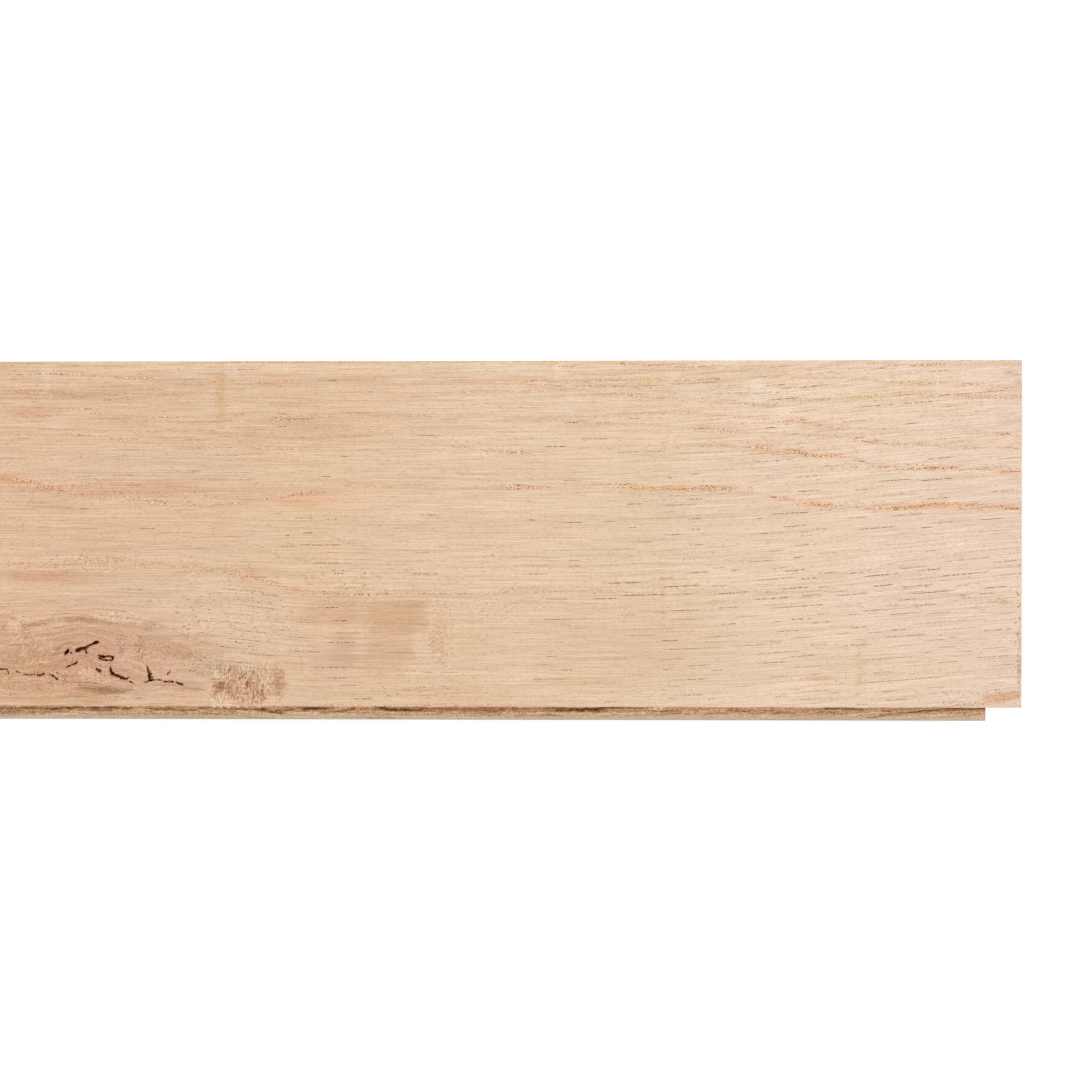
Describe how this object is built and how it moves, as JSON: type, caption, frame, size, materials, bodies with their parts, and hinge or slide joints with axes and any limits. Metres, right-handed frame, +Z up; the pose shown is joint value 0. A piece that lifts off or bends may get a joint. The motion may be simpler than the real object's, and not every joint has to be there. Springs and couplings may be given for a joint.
{
  "type": "solid hardwood floorboard",
  "caption": "Unfinished solid red oak strip floorboard with a tongue and a groove on its long sides and on its ends, and shallow hollows along its back.",
  "frame": {"origin": "middle of the overall length and width, tongues included, on the plane that the back rests on", "axes": "+X along the grain towards the grooved end, +Y across the width towards the grooved side, +Z up towards the walking face"},
  "size_m": [0.7738, 0.1324, 0.0191],
  "materials": {
    "red_oak": "matte"
  },
  "bodies": {
    "root": {"floorboard": "red_oak"}
  },
  "joints": []
}
